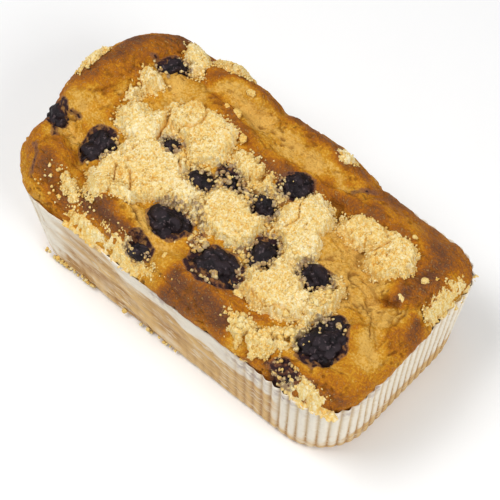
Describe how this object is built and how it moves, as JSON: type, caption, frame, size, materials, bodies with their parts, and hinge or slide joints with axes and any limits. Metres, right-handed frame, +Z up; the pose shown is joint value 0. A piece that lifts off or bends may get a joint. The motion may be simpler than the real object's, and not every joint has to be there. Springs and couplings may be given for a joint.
{
  "type": "crumb cake",
  "caption": "Berry loaf cake with a crumb topping, baked and sold in its pleated paper case; browned crust swells over the rim.",
  "frame": {"origin": "middle of the paper case's flat base, on the surface that it stands on", "axes": "+X along the loaf to its low end, +Y across it, +Z up; -Y is the side where the pleats are pressed flat"},
  "size_m": [0.1809, 0.0983, 0.0668],
  "materials": {
    "crust": "baked crust, dry, golden to dark brown",
    "case_paper": "thin pleated baking paper, grease-stained",
    "berry": "dull blackish-purple baked berry",
    "crumb": "dry pale butter crumb"
  },
  "bodies": {
    "root": {"cake": "crust", "paper_case": "case_paper", "berry_left": "berry", "berry_front_middle": "berry", "berry_front_large": "berry", "berry_low_end": "berry", "berry_back": "berry", "berry_middle": "berry", "berry_centre": "berry", "berry_right": "berry", "berry_under_crumb_left": "berry", "berry_under_crumb_right": "berry", "berry_upper_left": "berry", "berry_top_corner": "berry", "berry_left_end": "berry", "berry_front_edge": "berry", "berry_low_corner": "berry", "crumb_left": "crumb", "crumb_front": "crumb", "crumb_right": "crumb", "crumb_centre": "crumb", "crumb_low_end": "crumb", "crumb_upper": "crumb", "crumb_strip": "crumb", "crumb_broken": "crumb", "crumb_edge": "crumb", "crumb_top_corner": "crumb", "crumb_top_small": "crumb", "crumb_fold": "crumb", "crumb_behind": "crumb", "crumb_left_rim": "crumb", "crumb_left_corner": "crumb", "crumb_low_corner": "crumb", "crumb_low_rim": "crumb", "crumb_back_rim": "crumb"}
  },
  "joints": []
}
